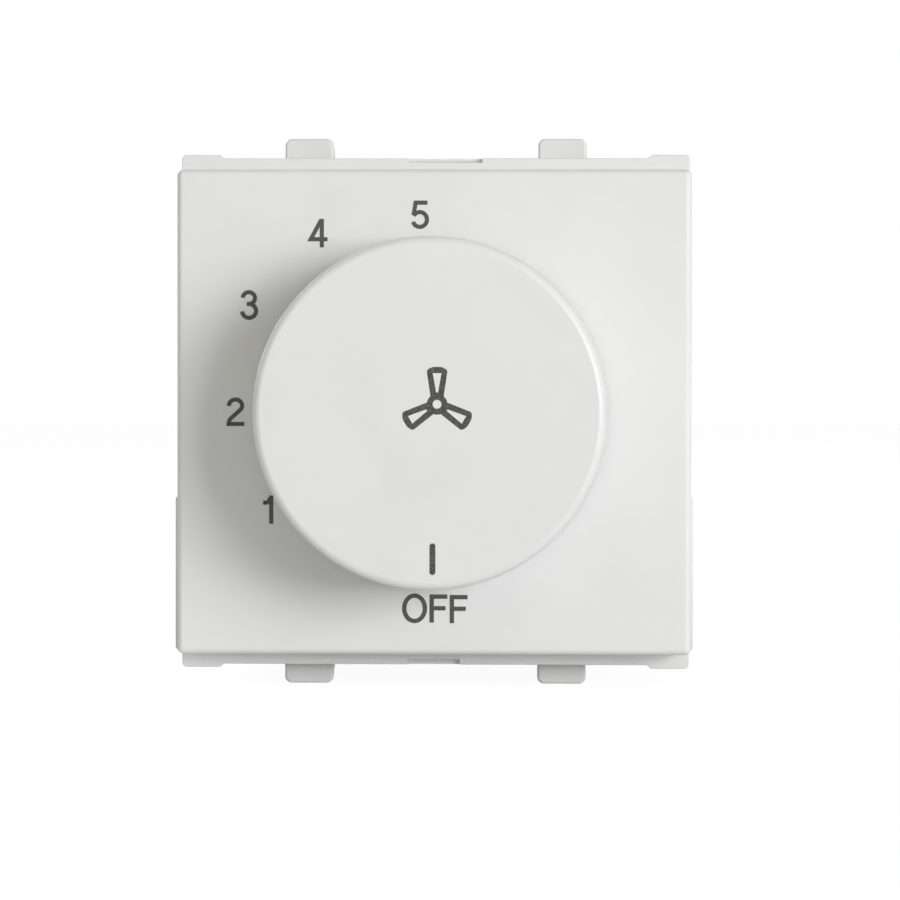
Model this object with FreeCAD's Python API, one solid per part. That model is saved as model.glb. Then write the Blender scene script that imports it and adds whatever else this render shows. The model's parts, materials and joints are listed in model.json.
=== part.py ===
import FreeCAD, Part
import math
import os

# A stepped fan speed control switch, two modules wide, for a modular wiring frame.
# The front faces -Y, +X is to the right seen from the front, and +Z is up.
# The origin is on the knob's axis, in the plane where the flange seats on the frame.
# Every size is in millimetres.

# Module grid and front plate
module_pitch = 22.5
module_count = 2
module_play = 0.3
face_height = 42.14
face_stand = 4.6
face_wall = 2.2
face_edge_radius = 0.55
face_corner_radius = 0.5
flange_thickness = 1.0
flange_lip = 1.23
flange_pad_rise = 0.3
flange_pad_length = 3.35
flange_pad_slope = 0.3
flange_corner_radius = 0.4
top_notch_left = -2.5
top_notch_right = 4.08
top_notch_depth = 0.36
bottom_notch_left = -2.36
bottom_notch_right = 2.13
bottom_notch_depth = 0.44
notch_skin = 0.4
side_pad_proud = 0.22
side_pad_top_z = -7.45
side_pad_bottom_z = -21.0
side_pad_front_set = 1.0
side_pad_rear_set = 0.4
plate_rib_thickness = 1.0
plate_rib_height = 2.6

# Rear housing
housing_side_inset = 0.45
housing_end_inset = 1.4
housing_wall = 1.6
housing_corner_radius = 1.6
housing_rear_edge_radius = 0.8
rim_step = 0.4

# Skirt of the front plate inside the housing, and its snap hooks
skirt_clearance = 0.1
skirt_wall = 1.2
skirt_length = 4.8
hook_width = 6.0
hook_depth = 0.8
hook_land = 0.5
hook_length = 2.0
hook_start = 2.8
hook_clearance = 0.1
hook_spacing = 20.0

# Snap clips that hold the module in the frame
clip_width = 4.3
clip_offset = -0.09
clip_stand_out = 1.93
clip_catch = 2.1
clip_land = 1.0
clip_ramp_length = 6.2
clip_corner_radius = 0.6
clip_slot_width = 0.8
clip_tongue_length = 12.0
clip_end_gap = 0.8
clip_relief = 0.5
clip_relief_depth = 1.0

# Vents in the housing's sides
vent_width = 1.4
vent_length = 9.0
vent_pitch = 3.0
vent_count = 5
vent_start = 18.0

# Knob
knob_radius = 14.8
knob_height = 11.0
knob_gap = 0.5
knob_draft = 0.3
knob_wall = 1.8
knob_edge_radius = 0.8
knob_boss_radius = 4.9
knob_boss_set = 0.6
knob_rib_count = 6
knob_rib_thickness = 1.0
knob_rib_set = 2.4
pointer_x = 0.29
pointer_width = 0.45
pointer_inner = 10.93
pointer_outer = 13.52
engraving_depth = 0.2

# Fan symbol in the knob's front: a hub ring and three blades
symbol_x = 0.66
symbol_z = 0.754
symbol_hub_outer = 0.83
symbol_hub_inner = 0.39
symbol_blade_count = 3
symbol_blade_reach = 3.1
symbol_blade_tip_width = 1.65
symbol_blade_root_width = 0.98
symbol_blade_corner = 0.4
symbol_window_reach = 2.6
symbol_window_width = 0.73
symbol_window_root = 0.97

# Spindle and its grip in the knob
spindle_radius = 3.0
spindle_flat_depth = 1.5
spindle_flat_run_on = 0.3
spindle_tip_gap = 0.8
spindle_square = 4.4
spindle_pivot_radius = 1.5
spindle_tip_chamfer = 0.5
spindle_tail_gap = 0.3
bore_clearance = 0.04
running_clearance = 0.05
grip_thickness = 0.45
grip_width = 3.2
grip_lip = 1.0
grip_clearance = 0.03
grip_end_gap = 0.2
ring_thickness = 0.6
ring_outer_radius = 4.3
ring_groove_radius = 2.3
ring_side_clearance = 0.05
ring_mouth = 3.2

# Rotary switch
switch_corner_radius = 2.0
switch_front_y = 0.8
switch_side_gap = 2.1
cover_wall = 1.2
cover_front_wall = 1.4
cover_depth = 7.2
bush_radius = 4.5
bush_set = 1.0
bush_clearance = 0.15
bush_tube_wall = 1.8
base_thickness = 2.8
base_rim = 1.6
base_foot_radius = 1.0
base_foot_shift = 3.3
washer_thickness = 0.5
washer_outer_radius = 5.4
axial_play = 0.03
star_radius = 7.6
star_thickness = 2.4
star_notch_radius = 1.2
star_notch_depth = 0.8
index_angle = 30.0
rotor_hub_radius = 4.5
carrier_thickness = 1.2
carrier_margin = 0.1
stop_lug_width = 2.4
stop_post_radius = 1.0
stop_post_gap = 0.2
stop_clearance = 0.05
rivet_inset = 2.4
rivet_radius = 1.0
rivet_head_radius = 1.7
rivet_head_thickness = 0.6
rivet_boss_radius = 2.2
rivet_clearance = 0.03

# Index spring
leaf_thickness = 0.3
leaf_width = 1.8
leaf_half_length = 8.3
leaf_rise = 1.2
leaf_nose_clearance = 0.06
leaf_seat_clearance = 0.04
leaf_seat_length = 1.3
leaf_seat_height = 0.9

# Contacts
contact_circle = 8.2
contact_pad_radius = 1.3
contact_thickness = 0.5
contact_pin_radius = 0.5
contact_clearance = 0.03
speed_count = 5
first_speed_angle = 60.0
common_inner_radius = 2.6
common_outer_radius = 4.8
bridge_thickness = 0.3
bridge_width = 2.2
bridge_ring_clearance = 0.2
bridge_ring_wall = 1.4
bridge_dimple_radius = 0.7
bridge_dimple_tip = 0.35
bridge_dimple_height = 0.34
bridge_peg_radius = 0.45
bridge_peg_start = 5.4
bridge_peg_spacing = 1.4
bridge_peg_clearance = 0.02

# Circuit board
board_gap = 1.1
board_thickness = 1.6
board_clearance = 0.5
board_corner_radius = 1.0
solder_tail = 0.4
lead_clearance = 0.1
post_radius = 2.3
post_side_inset = 3.2
post_end_inset = 3.6
screw_radius = 1.1
screw_length = 6.0
screw_head_radius = 2.0
screw_head_height = 1.4
screw_clearance = 0.02
screw_end_gap = 1.5
screw_slot_width = 0.5
screw_slot_depth = 0.6
board_hold_rib = 1.6
board_hold_rib_width = 1.0
board_hold_spacing = 18.0

# Capacitors: length along X, thickness along Z, height along Y.
# Their lengths fill the room between the screws and resistors, and they share the room
# from the surge resistors to the board's top edge.
capacitor_large_share = 0.56
capacitor_large_height = 14.4
capacitor_small_height = 13.0
capacitor_screw_gap = 0.6
capacitor_edge_radius = 0.7
capacitor_foot = 0.8
capacitor_foot_length = 1.4
capacitor_lead_radius = 0.4
capacitor_lead_room = 0.5
capacitor_margin = 0.7
capacitor_spacing = 1.6
capacitor_rear_gap = 1.1

# Resistors
surge_body_radius = 1.6
surge_body_length = 8.4
surge_lead_radius = 0.4
surge_centre_x = 6.9
surge_spacing = 0.9
surge_leg_gap = 1.3
bleed_body_radius = 1.15
bleed_body_length = 6.2
bleed_lead_radius = 0.3
bleed_spacing = 2.0
bleed_side_gap = 4.5
resistor_lift = 0.3
resistor_end_chamfer = 0.3
resistor_lead_reach = 1.4
resistor_bend_radius = 0.7

# Terminals: a screw along Y lifts a cage to the rear against a fixed tongue
terminal_x = 11.0
terminal_rise = 6.1
cage_width = 7.6
cage_height = 6.0
cage_wall = 1.0
cage_thread_wall = 1.6
cage_board_gap = 2.1
cage_side_clearance = 0.15
cage_tongue_gap = 0.2
cage_corner_radius = 0.7
wire_space = 3.8
tongue_thickness = 1.0
tongue_width = 5.2
tongue_bend_radius = 0.6
tongue_leg_gap = 0.7
tongue_overlap = 0.2
tongue_pin_width = 1.2
tongue_pin_spacing = 3.0
clamp_pitch = 0.6
clamp_turns = 5
clamp_screw_radius = 1.75
clamp_tip_chamfer = 0.3
clamp_head_radius = 3.1
clamp_head_height = 2.2
clamp_head_chamfer = 0.4
clamp_head_clearance = 0.1
clamp_head_play = 1.2
clamp_tip_gap = 0.4
clamp_stop_gap = 0.2
clamp_shoulder = 1.0
clamp_slot_width = 0.9
clamp_slot_depth = 1.1
clamp_cross_reach = 1.6
driver_lip = 0.6
driver_hole_radius = 2.8
wire_hole_radius = 1.8
wire_funnel_radius = 2.6
wire_funnel_depth = 0.8
wire_guide_gap = 0.3
pocket_wall = 1.2
pocket_front_set = 0.2
pocket_top_rise = 0.5
guide_rear_run = 0.4

# How far an added feature reaches into the wall that carries it, and a cut past its face
root = 0.5
past = 1.0

# Places worked out from the sizes above
plate_width = module_pitch * module_count - module_play
flange_height = face_height + 2 * flange_lip
flange_front_y = -flange_thickness
face_y = flange_front_y - face_stand
face_inner_y = face_y + face_wall
clip_x = module_pitch / 2
clip_reach = flange_height / 2 + clip_stand_out

knob_rear_y = face_y - knob_gap
knob_front_y = knob_rear_y - knob_height
knob_inner_y = knob_front_y + knob_wall
knob_base_radius = knob_radius + knob_draft
knob_boss_end_y = knob_rear_y - knob_boss_set

stop_post_x = star_radius + stop_post_gap + stop_post_radius
stop_lug_reach = stop_post_x + 0.9 * stop_post_radius
switch_width = 2 * (stop_lug_reach + switch_side_gap + cover_wall)
carrier_radius = contact_circle + contact_pad_radius + carrier_margin
cover_inner_y = switch_front_y + cover_front_wall
cover_rear_y = switch_front_y + cover_depth
base_front_y = cover_rear_y + base_rim
base_rear_y = base_front_y + base_thickness
bush_front_y = face_y + bush_set
washer_y = cover_inner_y + axial_play
rotor_front_y = washer_y + washer_thickness + axial_play
star_rear_y = rotor_front_y + star_thickness
contact_face_y = base_front_y - contact_thickness
dimple_tip_y = contact_face_y - axial_play
bridge_rear_y = dimple_tip_y - bridge_dimple_height
bridge_front_y = bridge_rear_y - bridge_thickness
rotor_rear_y = bridge_front_y - axial_play
spindle_tip_y = knob_inner_y + spindle_tip_gap
spindle_flat_end_y = knob_boss_end_y + grip_thickness + spindle_flat_run_on
spindle_tail_y = base_rear_y - spindle_tail_gap
spindle_flat_z = -(spindle_radius - spindle_flat_depth)
ring_rear_y = bush_front_y - axial_play
ring_front_y = ring_rear_y - ring_thickness
rivet_place = switch_width / 2 - rivet_inset
leaf_z = star_radius + leaf_rise
leaf_top_z = leaf_z + leaf_thickness
star_notch_centre = star_radius - star_notch_depth + star_notch_radius
common_circle = (common_inner_radius + common_outer_radius) / 2
speed_angles = [first_speed_angle + step * index_angle for step in range(speed_count)]

board_front_y = base_rear_y + board_gap
board_rear_y = board_front_y + board_thickness
tail_front_y = board_front_y - solder_tail
tail_rear_y = board_rear_y + solder_tail
capacitor_front_y = board_rear_y + capacitor_foot

cage_start_y = board_rear_y + cage_board_gap
cage_wire_y = cage_start_y + cage_wall
tongue_y = cage_wire_y + wire_space
tongue_rear_y = tongue_y + tongue_thickness
cage_thread_y = tongue_rear_y + cage_tongue_gap
cage_end_y = cage_thread_y + cage_thread_wall
clamp_travel = clamp_pitch * clamp_turns
shoulder_front_y = cage_end_y + clamp_travel + clamp_stop_gap
shoulder_rear_y = shoulder_front_y + clamp_shoulder
clamp_head_y = shoulder_rear_y + clamp_head_height
clamp_tip_y = tongue_rear_y + clamp_tip_gap
wire_y = cage_wire_y + wire_space / 2

# The housing is as deep as the taller capacitor or the clamp screws need
capacitor_end_y = capacitor_front_y + max(capacitor_large_height, capacitor_small_height)
housing_depth = max(
    capacitor_end_y + capacitor_rear_gap + housing_wall,
    clamp_head_y + clamp_head_play + driver_lip,
)
rear_wall_y = housing_depth - housing_wall
housing_width = plate_width - 2 * housing_side_inset
housing_height = flange_height - 2 * housing_end_inset
housing_inner_width = housing_width - 2 * housing_wall
housing_inner_height = housing_height - 2 * housing_wall
housing_inner_corner = max(housing_corner_radius - housing_wall, 0.4)
skirt_width = housing_inner_width - 2 * skirt_clearance
skirt_height = housing_inner_height - 2 * skirt_clearance
plate_inner_width = skirt_width - 2 * skirt_wall
plate_inner_height = skirt_height - 2 * skirt_wall

board_width = housing_inner_width - 2 * board_clearance
board_height = housing_inner_height - 2 * board_clearance
post_x = board_width / 2 - post_side_inset
post_z = board_height / 2 - post_end_inset

terminal_screw_z = -housing_inner_height / 2 + terminal_rise
cage_bottom_z = terminal_screw_z - cage_height / 2
cage_top_z = terminal_screw_z + cage_height / 2
guide_top_z = cage_bottom_z - wire_guide_gap
tongue_leg_z = cage_top_z + tongue_leg_gap
terminal_places = {"line": -terminal_x, "fan": terminal_x}

surge_z = tongue_leg_z + tongue_thickness + surge_leg_gap + surge_body_radius
surge_y = board_rear_y + resistor_lift + surge_body_radius
bleed_x = board_width / 2 - bleed_side_gap - bleed_body_radius
bleed_y = board_rear_y + resistor_lift + bleed_body_radius
capacitor_top_z = board_height / 2 - capacitor_margin
capacitor_bottom_z = surge_z + surge_body_radius + surge_spacing
capacitor_room = capacitor_top_z - capacitor_bottom_z - capacitor_spacing
capacitor_large_thickness = capacitor_large_share * capacitor_room
capacitor_small_thickness = capacitor_room - capacitor_large_thickness
large_z = capacitor_top_z - capacitor_large_thickness / 2
small_z = capacitor_bottom_z + capacitor_small_thickness / 2
capacitor_large_length = 2 * (post_x - screw_head_radius - capacitor_screw_gap)
capacitor_small_length = 2 * (bleed_x - bleed_body_radius - bleed_spacing)
capacitor_lead_inset = capacitor_edge_radius + capacitor_foot_length / 2

FRONT_TO_REAR = FreeCAD.Vector(0, 1, 0)
UPWARD = FreeCAD.Vector(0, 0, 1)
SIDEWAYS = FreeCAD.Vector(1, 0, 0)


def point(x, y, z):
    return FreeCAD.Vector(x, y, z)


def block(x_span, y_span, z_span):
    """A box from three pairs of low and high values."""
    length = x_span[1] - x_span[0]
    depth = y_span[1] - y_span[0]
    height = z_span[1] - z_span[0]
    return Part.makeBox(length, depth, height, point(x_span[0], y_span[0], z_span[0]))


def rod_y(radius, y_low, y_high, x=0.0, z=0.0):
    """A round rod along Y."""
    return Part.makeCylinder(radius, y_high - y_low, point(x, y_low, z), FRONT_TO_REAR)


def tube_y(outer, inner, y_low, y_high, x=0.0, z=0.0):
    """A round tube along Y."""
    return rod_y(outer, y_low, y_high, x, z).cut(rod_y(inner, y_low, y_high, x, z))


def cone_y(radius_low, radius_high, y_low, y_high, x=0.0, z=0.0):
    """A cone along Y."""
    start = point(x, y_low, z)
    return Part.makeCone(radius_low, radius_high, y_high - y_low, start, FRONT_TO_REAR)


def edges_along(shape, direction):
    """The straight edges that run along a direction."""
    chosen = []
    for edge in shape.Edges:
        if not isinstance(edge.Curve, Part.Line):
            continue
        run = edge.Vertexes[1].Point.sub(edge.Vertexes[0].Point)
        if abs(abs(run.dot(direction)) - run.Length) < 1e-6:
            chosen.append(edge)
    return chosen


def edges_at_y(shape, y):
    """The edges that lie in one plane across Y."""
    chosen = []
    for edge in shape.Edges:
        if abs(edge.BoundBox.YMin - y) < 1e-4 and abs(edge.BoundBox.YMax - y) < 1e-4:
            chosen.append(edge)
    return chosen


def rounded_block(width, height, y_low, y_high, corner, z=0.0):
    """A block centred on X, with its four edges along Y rounded."""
    x_span = (-width / 2, width / 2)
    plain = block(x_span, (y_low, y_high), (z - height / 2, z + height / 2))
    return plain.makeFillet(corner, edges_along(plain, FRONT_TO_REAR))


def prism(points, direction):
    """A closed outline pulled along a direction."""
    wire = Part.makePolygon(points + [points[0]])
    return Part.Face(wire).extrude(direction)


def fused(shapes):
    """One solid from several that meet."""
    whole = shapes[0].multiFuse(shapes[1:])
    return whole.removeSplitter()


def turned(shape, degrees):
    """A copy turned clockwise about the knob's axis, seen from the front."""
    copy = shape.copy()
    copy.rotate(point(0, 0, 0), FRONT_TO_REAR, degrees)
    return copy


def mirrored_x(shape):
    return shape.mirror(point(0, 0, 0), SIDEWAYS)


def mirrored_z(shape):
    return shape.mirror(point(0, 0, 0), UPWARD)


def flange():
    """The flange: a thin plate with raised corner pads and two pry notches sunk in its front."""
    half = plate_width / 2
    low = flange_height / 2
    high = low + flange_pad_rise
    pad_x = half - flange_pad_length
    slope_x = pad_x - flange_pad_slope
    top = [(-half, high), (-pad_x, high), (-slope_x, low), (slope_x, low), (pad_x, high), (half, high)]
    bottom = [(x, -z) for x, z in reversed(top)]
    outline = [point(x, flange_front_y, z) for x, z in top + bottom]
    plate = prism(outline, point(0, flange_thickness, 0))
    corners = []
    for edge in edges_along(plate, FRONT_TO_REAR):
        if abs(abs(edge.CenterOfMass.x) - half) < 1e-6:
            corners.append(edge)
    plate = plate.makeFillet(flange_corner_radius, corners)
    sunk = (flange_front_y - past, -notch_skin)
    top_notch = block((top_notch_left, top_notch_right), sunk, (low - top_notch_depth, low + past))
    bottom_notch = block(
        (bottom_notch_left, bottom_notch_right), sunk, (-low - past, -low + bottom_notch_depth)
    )
    return plate.cut(top_notch).cut(bottom_notch)


def side_pads():
    """The slim pads that stand just proud of the plate's sides."""
    outer = plate_width / 2 + side_pad_proud
    inner = plate_width / 2 - root
    front = face_y + side_pad_front_set
    rear = -side_pad_rear_set
    outline = [
        point(inner, front, side_pad_top_z),
        point(outer, front, side_pad_top_z),
        point(outer, front, side_pad_bottom_z + 2 * side_pad_proud),
        point(inner, front, side_pad_bottom_z - 2 * side_pad_proud),
    ]
    pad = prism(outline, point(0, rear - front, 0))
    limit = block((inner, outer), (front, rear), (side_pad_bottom_z, side_pad_top_z))
    pad = pad.common(limit)
    return [pad, mirrored_x(pad)]


def snap_hooks():
    """Four wedges on the skirt that catch in the housing's windows."""
    foot = skirt_width / 2
    deep = foot - skirt_wall / 2
    tip = foot + hook_depth
    end = hook_start + hook_length
    hooks = []
    for side in (-1, 1):
        for z in (-hook_spacing / 2, hook_spacing / 2):
            low = z - hook_width / 2
            outline = [
                point(side * deep, hook_start, low),
                point(side * tip, hook_start, low),
                point(side * tip, hook_start + hook_land, low),
                point(side * foot, end, low),
                point(side * deep, end, low),
            ]
            hooks.append(prism(outline, point(0, 0, hook_width)))
    return hooks


def plate_ribs():
    """Four stiffening ribs from the bush tube to the plate's walls."""
    rear = face_inner_y + plate_rib_height
    half = plate_rib_thickness / 2
    inner = bush_radius + bush_clearance + bush_tube_wall / 2
    across = plate_inner_width / 2 + root
    up = plate_inner_height / 2 + root
    front = face_inner_y - root
    rib_right = block((inner, across), (front, rear), (-half, half))
    rib_top = block((-half, half), (front, rear), (inner, up))
    return [rib_right, mirrored_x(rib_right), rib_top, mirrored_z(rib_top)]


def board_posts():
    """Four posts that carry the circuit board, with their screw holes."""
    posts = []
    holes = []
    for x in (-post_x, post_x):
        for z in (-post_z, post_z):
            posts.append(rod_y(post_radius, face_inner_y - root, board_front_y, x, z))
            depth = screw_length - board_thickness + screw_end_gap
            hole_radius = screw_radius + screw_clearance
            holes.append(rod_y(hole_radius, board_front_y - depth, board_front_y + past, x, z))
    return posts, holes


def clip_places():
    """Where the four clips stand: the centre in X and the side, top or bottom."""
    places = []
    for x in (-clip_x, clip_x):
        for side in (-1, 1):
            places.append((x + clip_offset, side))
    return places


def clip_reliefs():
    """Room behind each clip, where the skirt is cut away so that the clip can bend in."""
    reliefs = []
    reach = clip_width / 2 + clip_slot_width + clip_relief
    outer = skirt_height / 2 + past
    inner = plate_inner_height / 2 - clip_relief_depth
    for x, side in clip_places():
        z_span = sorted((side * outer, side * inner))
        y_span = (rim_step, rim_step + skirt_length + past)
        reliefs.append(block((x - reach, x + reach), y_span, z_span))
    return reliefs


def front_plate():
    """Face, flange, skirt, posts and hooks, moulded in one piece."""
    face = rounded_block(plate_width, face_height, face_y, 0, face_corner_radius)
    face = face.makeFillet(face_edge_radius, edges_at_y(face, face_y))
    step = rounded_block(housing_width, housing_height, flange_front_y, rim_step, housing_corner_radius)
    skirt_end = rim_step + skirt_length
    skirt = rounded_block(skirt_width, skirt_height, flange_front_y, skirt_end, housing_inner_corner)
    for relief in clip_reliefs():
        skirt = skirt.cut(relief)
    body = fused([face, flange(), step, skirt] + side_pads())
    cavity = rounded_block(
        plate_inner_width, plate_inner_height, face_inner_y, skirt_end + past, housing_inner_corner
    )
    body = body.cut(cavity)
    bush_inner = bush_radius + bush_clearance
    bush_tube = rod_y(bush_inner + bush_tube_wall, face_inner_y - root, switch_front_y)
    posts, holes = board_posts()
    body = fused([body, bush_tube] + plate_ribs() + posts + snap_hooks())
    body = body.cut(rod_y(bush_inner, face_y - past, switch_front_y + past))
    for hole in holes:
        body = body.cut(hole)
    return body


def clip_wedge(x, side):
    """The hook of one clip: a catch face, a short land and a ramp to the rear."""
    deep = housing_height / 2 - housing_wall / 2
    foot = housing_height / 2
    land_end = clip_catch + clip_land
    ramp_end = land_end + clip_ramp_length
    outline = [
        point(x - clip_width / 2, clip_catch, deep),
        point(x - clip_width / 2, clip_catch, clip_reach),
        point(x - clip_width / 2, land_end, clip_reach),
        point(x - clip_width / 2, ramp_end, foot),
        point(x - clip_width / 2, ramp_end, deep),
    ]
    wedge = prism(outline, point(clip_width, 0, 0))
    rounded = []
    for edge in wedge.Edges:
        centre = edge.CenterOfMass
        at_side = abs(abs(centre.x - x) - clip_width / 2) < 1e-6
        on_top = centre.z > foot + root and centre.y > clip_catch + 1e-6
        if at_side and on_top:
            rounded.append(edge)
    wedge = wedge.makeFillet(clip_corner_radius, rounded)
    if side < 0:
        wedge = mirrored_z(wedge)
    return wedge


def clip_slots(x, side):
    """The slots beside one clip and the gap at its free end."""
    outer = housing_height / 2 + root
    inner = housing_inner_height / 2 - root
    z_span = sorted((side * inner, side * outer))
    half = clip_width / 2
    start = rim_step - past
    end = rim_step + clip_end_gap
    bend = end + clip_tongue_length
    left = block((x - half - clip_slot_width, x - half), (start, bend), z_span)
    right = block((x + half, x + half + clip_slot_width), (start, bend), z_span)
    tip = block((x - half - clip_slot_width, x + half + clip_slot_width), (start, end), z_span)
    return left.fuse(right).fuse(tip)


def hook_windows():
    """Windows in the housing's sides for the front plate's hooks."""
    windows = []
    outer = housing_width / 2 + past
    half = hook_width / 2 + hook_clearance
    start = hook_start - hook_clearance
    end = hook_start + hook_length + hook_clearance
    for z in (-hook_spacing / 2, hook_spacing / 2):
        windows.append(block((-outer, outer), (start, end), (z - half, z + half)))
    return windows


def vents():
    """Two rows of round-ended slots through the housing's sides."""
    slots = []
    outer = housing_width / 2 + past
    radius = vent_width / 2
    first = -vent_pitch * (vent_count - 1) / 2
    for index in range(vent_count):
        z = first + index * vent_pitch
        start = vent_start + radius
        end = vent_start + vent_length - radius
        slot = block((-outer, outer), (start, end), (z - radius, z + radius))
        for y in (start, end):
            round_end = Part.makeCylinder(radius, 2 * outer, point(-outer, y, z), SIDEWAYS)
            slot = slot.fuse(round_end)
        slots.append(slot)
    return slots


def terminal_pocket(x):
    """Walls that guide one cage, the tower that holds its screw, and the wire guide."""
    inner = cage_width / 2 + cage_side_clearance
    outer = inner + pocket_wall
    front = cage_start_y - pocket_front_set
    rear = rear_wall_y + root
    floor = -housing_inner_height / 2 - root
    top = cage_top_z + pocket_top_rise
    left = block((x - outer, x - inner), (front, rear), (floor, top))
    right = block((x + inner, x + outer), (front, rear), (floor, top))
    tower = block((x - outer, x + outer), (shoulder_front_y, rear), (floor, top))
    guide = block((x - outer, x + outer), (front, tongue_rear_y + guide_rear_run), (floor, guide_top_z))
    return [left, right, tower, guide]


def terminal_holes(x):
    """The wire entry with its funnel, and the stepped hole for the screw and driver."""
    outside = -housing_height / 2
    z = terminal_screw_z
    wire_start = point(x, wire_y, outside - past)
    wire_length = guide_top_z - outside + 2 * past
    wire = Part.makeCylinder(wire_hole_radius, wire_length, wire_start, UPWARD)
    mouth = point(x, wire_y, outside)
    funnel = Part.makeCone(wire_funnel_radius, wire_hole_radius, wire_funnel_depth, mouth, UPWARD)
    shank_radius = clamp_screw_radius + clamp_head_clearance
    shank = rod_y(shank_radius, shoulder_front_y - past, shoulder_rear_y + root, x, z)
    head_radius = clamp_head_radius + clamp_head_clearance
    head = rod_y(head_radius, shoulder_rear_y, housing_depth - driver_lip, x, z)
    driver = rod_y(driver_hole_radius, housing_depth - driver_lip - root, housing_depth + past, x, z)
    return [wire, funnel, shank, head, driver]


def board_hold_ribs():
    """Upright ribs in the housing that stop the board from behind."""
    ribs = []
    inner = housing_inner_width / 2 - board_hold_rib
    for side in (-1, 1):
        x_span = sorted((side * inner, side * (housing_inner_width / 2 + root)))
        for z in (-board_hold_spacing / 2, board_hold_spacing / 2):
            z_span = (z - board_hold_rib_width / 2, z + board_hold_rib_width / 2)
            ribs.append(block(x_span, (board_rear_y, rear_wall_y + root), z_span))
    return ribs


def rear_housing():
    """The box behind the flange, with clips, windows, vents and terminal pockets."""
    shell = rounded_block(
        housing_width, housing_height, rim_step, housing_depth, housing_corner_radius
    )
    shell = shell.makeFillet(housing_rear_edge_radius, edges_at_y(shell, housing_depth))
    cavity = rounded_block(
        housing_inner_width, housing_inner_height, rim_step - past, rear_wall_y, housing_inner_corner
    )
    shell = shell.cut(cavity)
    additions = board_hold_ribs()
    for x in terminal_places.values():
        additions += terminal_pocket(x)
    for x, side in clip_places():
        additions.append(clip_wedge(x, side))
    shell = fused([shell] + additions)
    removals = hook_windows() + vents()
    for x in terminal_places.values():
        removals += terminal_holes(x)
    for x, side in clip_places():
        removals.append(clip_slots(x, side))
    for removal in removals:
        shell = shell.cut(removal)
    return shell


def d_section(radius, flat_z, y_low, y_high):
    """A round bar with one flat on its underside."""
    bar = rod_y(radius, y_low, y_high)
    trim = block((-radius - past, radius + past), (y_low - past, y_high + past), (-radius - past, flat_z))
    return bar.cut(trim)


def symbol_blade(reach, tip_width, root_reach, root_width, corner, y):
    """One blade of the fan symbol: it widens outward to a curved tip with round corners."""
    depth = 2 * engraving_depth
    outline = [
        point(-root_width / 2, y, root_reach),
        point(-tip_width / 2, y, reach),
        point(tip_width / 2, y, reach),
        point(root_width / 2, y, root_reach),
    ]
    blade = prism(outline, point(0, depth, 0)).common(rod_y(reach, y, y + depth))
    middle = (root_reach + reach) / 2
    uprights = edges_along(blade, FRONT_TO_REAR)
    tips = [edge for edge in uprights if edge.CenterOfMass.z > middle]
    return blade.makeFillet(corner, tips)


def fan_symbol():
    """The hub ring and the three hollow blades, as the solid that is engraved."""
    y = knob_front_y - engraving_depth
    blade = symbol_blade(
        symbol_blade_reach, symbol_blade_tip_width, symbol_hub_inner,
        symbol_blade_root_width, symbol_blade_corner, y,
    )
    window = prism(
        [
            point(0, y, symbol_window_root),
            point(-symbol_window_width / 2, y, symbol_window_reach),
            point(symbol_window_width / 2, y, symbol_window_reach),
        ],
        point(0, 2 * engraving_depth, 0),
    )
    blade = blade.cut(window)
    blades = []
    for index in range(symbol_blade_count):
        blades.append(turned(blade, index * 360.0 / symbol_blade_count))
    hub = rod_y(symbol_hub_outer, y, y + 2 * engraving_depth)
    symbol = fused([hub] + blades)
    symbol = symbol.cut(rod_y(symbol_hub_inner, y, y + 2 * engraving_depth))
    symbol.translate(point(symbol_x, 0, symbol_z))
    return symbol


def pointer_line():
    """The pointer: a short groove with round ends near the knob's lower edge."""
    y_low = knob_front_y - engraving_depth
    y_high = knob_front_y + engraving_depth
    half = pointer_width / 2
    top = -pointer_inner - half
    bottom = -pointer_outer + half
    middle = block((pointer_x - half, pointer_x + half), (y_low, y_high), (bottom, top))
    upper = rod_y(half, y_low, y_high, pointer_x, top)
    lower = rod_y(half, y_low, y_high, pointer_x, bottom)
    return fused([middle, upper, lower])


def knob():
    """A hollow knob with a ribbed boss, a D bore, the pointer and the fan symbol."""
    outer = cone_y(knob_radius, knob_base_radius, knob_front_y, knob_rear_y)
    outer = outer.makeFillet(knob_edge_radius, edges_at_y(outer, knob_front_y))
    cavity = cone_y(
        knob_radius - knob_wall, knob_base_radius - knob_wall, knob_inner_y, knob_rear_y
    )
    shell = outer.cut(cavity)
    boss = rod_y(knob_boss_radius, knob_inner_y - root, knob_boss_end_y)
    rib_rear = knob_rear_y - knob_rib_set
    reach = knob_radius - knob_wall / 2
    rib = block(
        (-knob_rib_thickness / 2, knob_rib_thickness / 2),
        (knob_inner_y - root, rib_rear),
        (knob_boss_radius - root, reach),
    )
    ribs = [turned(rib, index * 360.0 / knob_rib_count) for index in range(knob_rib_count)]
    body = fused([shell, boss] + ribs)
    flat_z = spindle_flat_z - bore_clearance
    bore = d_section(spindle_radius + bore_clearance, flat_z, knob_inner_y, knob_boss_end_y + past)
    body = body.cut(bore)
    slot_half = grip_width / 2 + grip_clearance
    slot_floor = flat_z - grip_thickness - grip_clearance
    slot_y = (spindle_tip_y, knob_boss_end_y + past)
    slot = block((-slot_half, slot_half), slot_y, (slot_floor, flat_z + bore_clearance))
    body = body.cut(slot)
    return body.cut(pointer_line()).cut(fan_symbol())


def knob_spring():
    """A steel strip in the boss that presses on the spindle's flat, with a lip at its mouth."""
    top = spindle_flat_z - bore_clearance
    bottom = top - grip_thickness
    half = grip_width / 2
    strip = block((-half, half), (spindle_tip_y + grip_end_gap, knob_boss_end_y), (bottom, top))
    lip_y = (knob_boss_end_y, knob_boss_end_y + grip_thickness)
    lip = block((-half, half), lip_y, (bottom - grip_lip, top))
    return fused([strip, lip])


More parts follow.
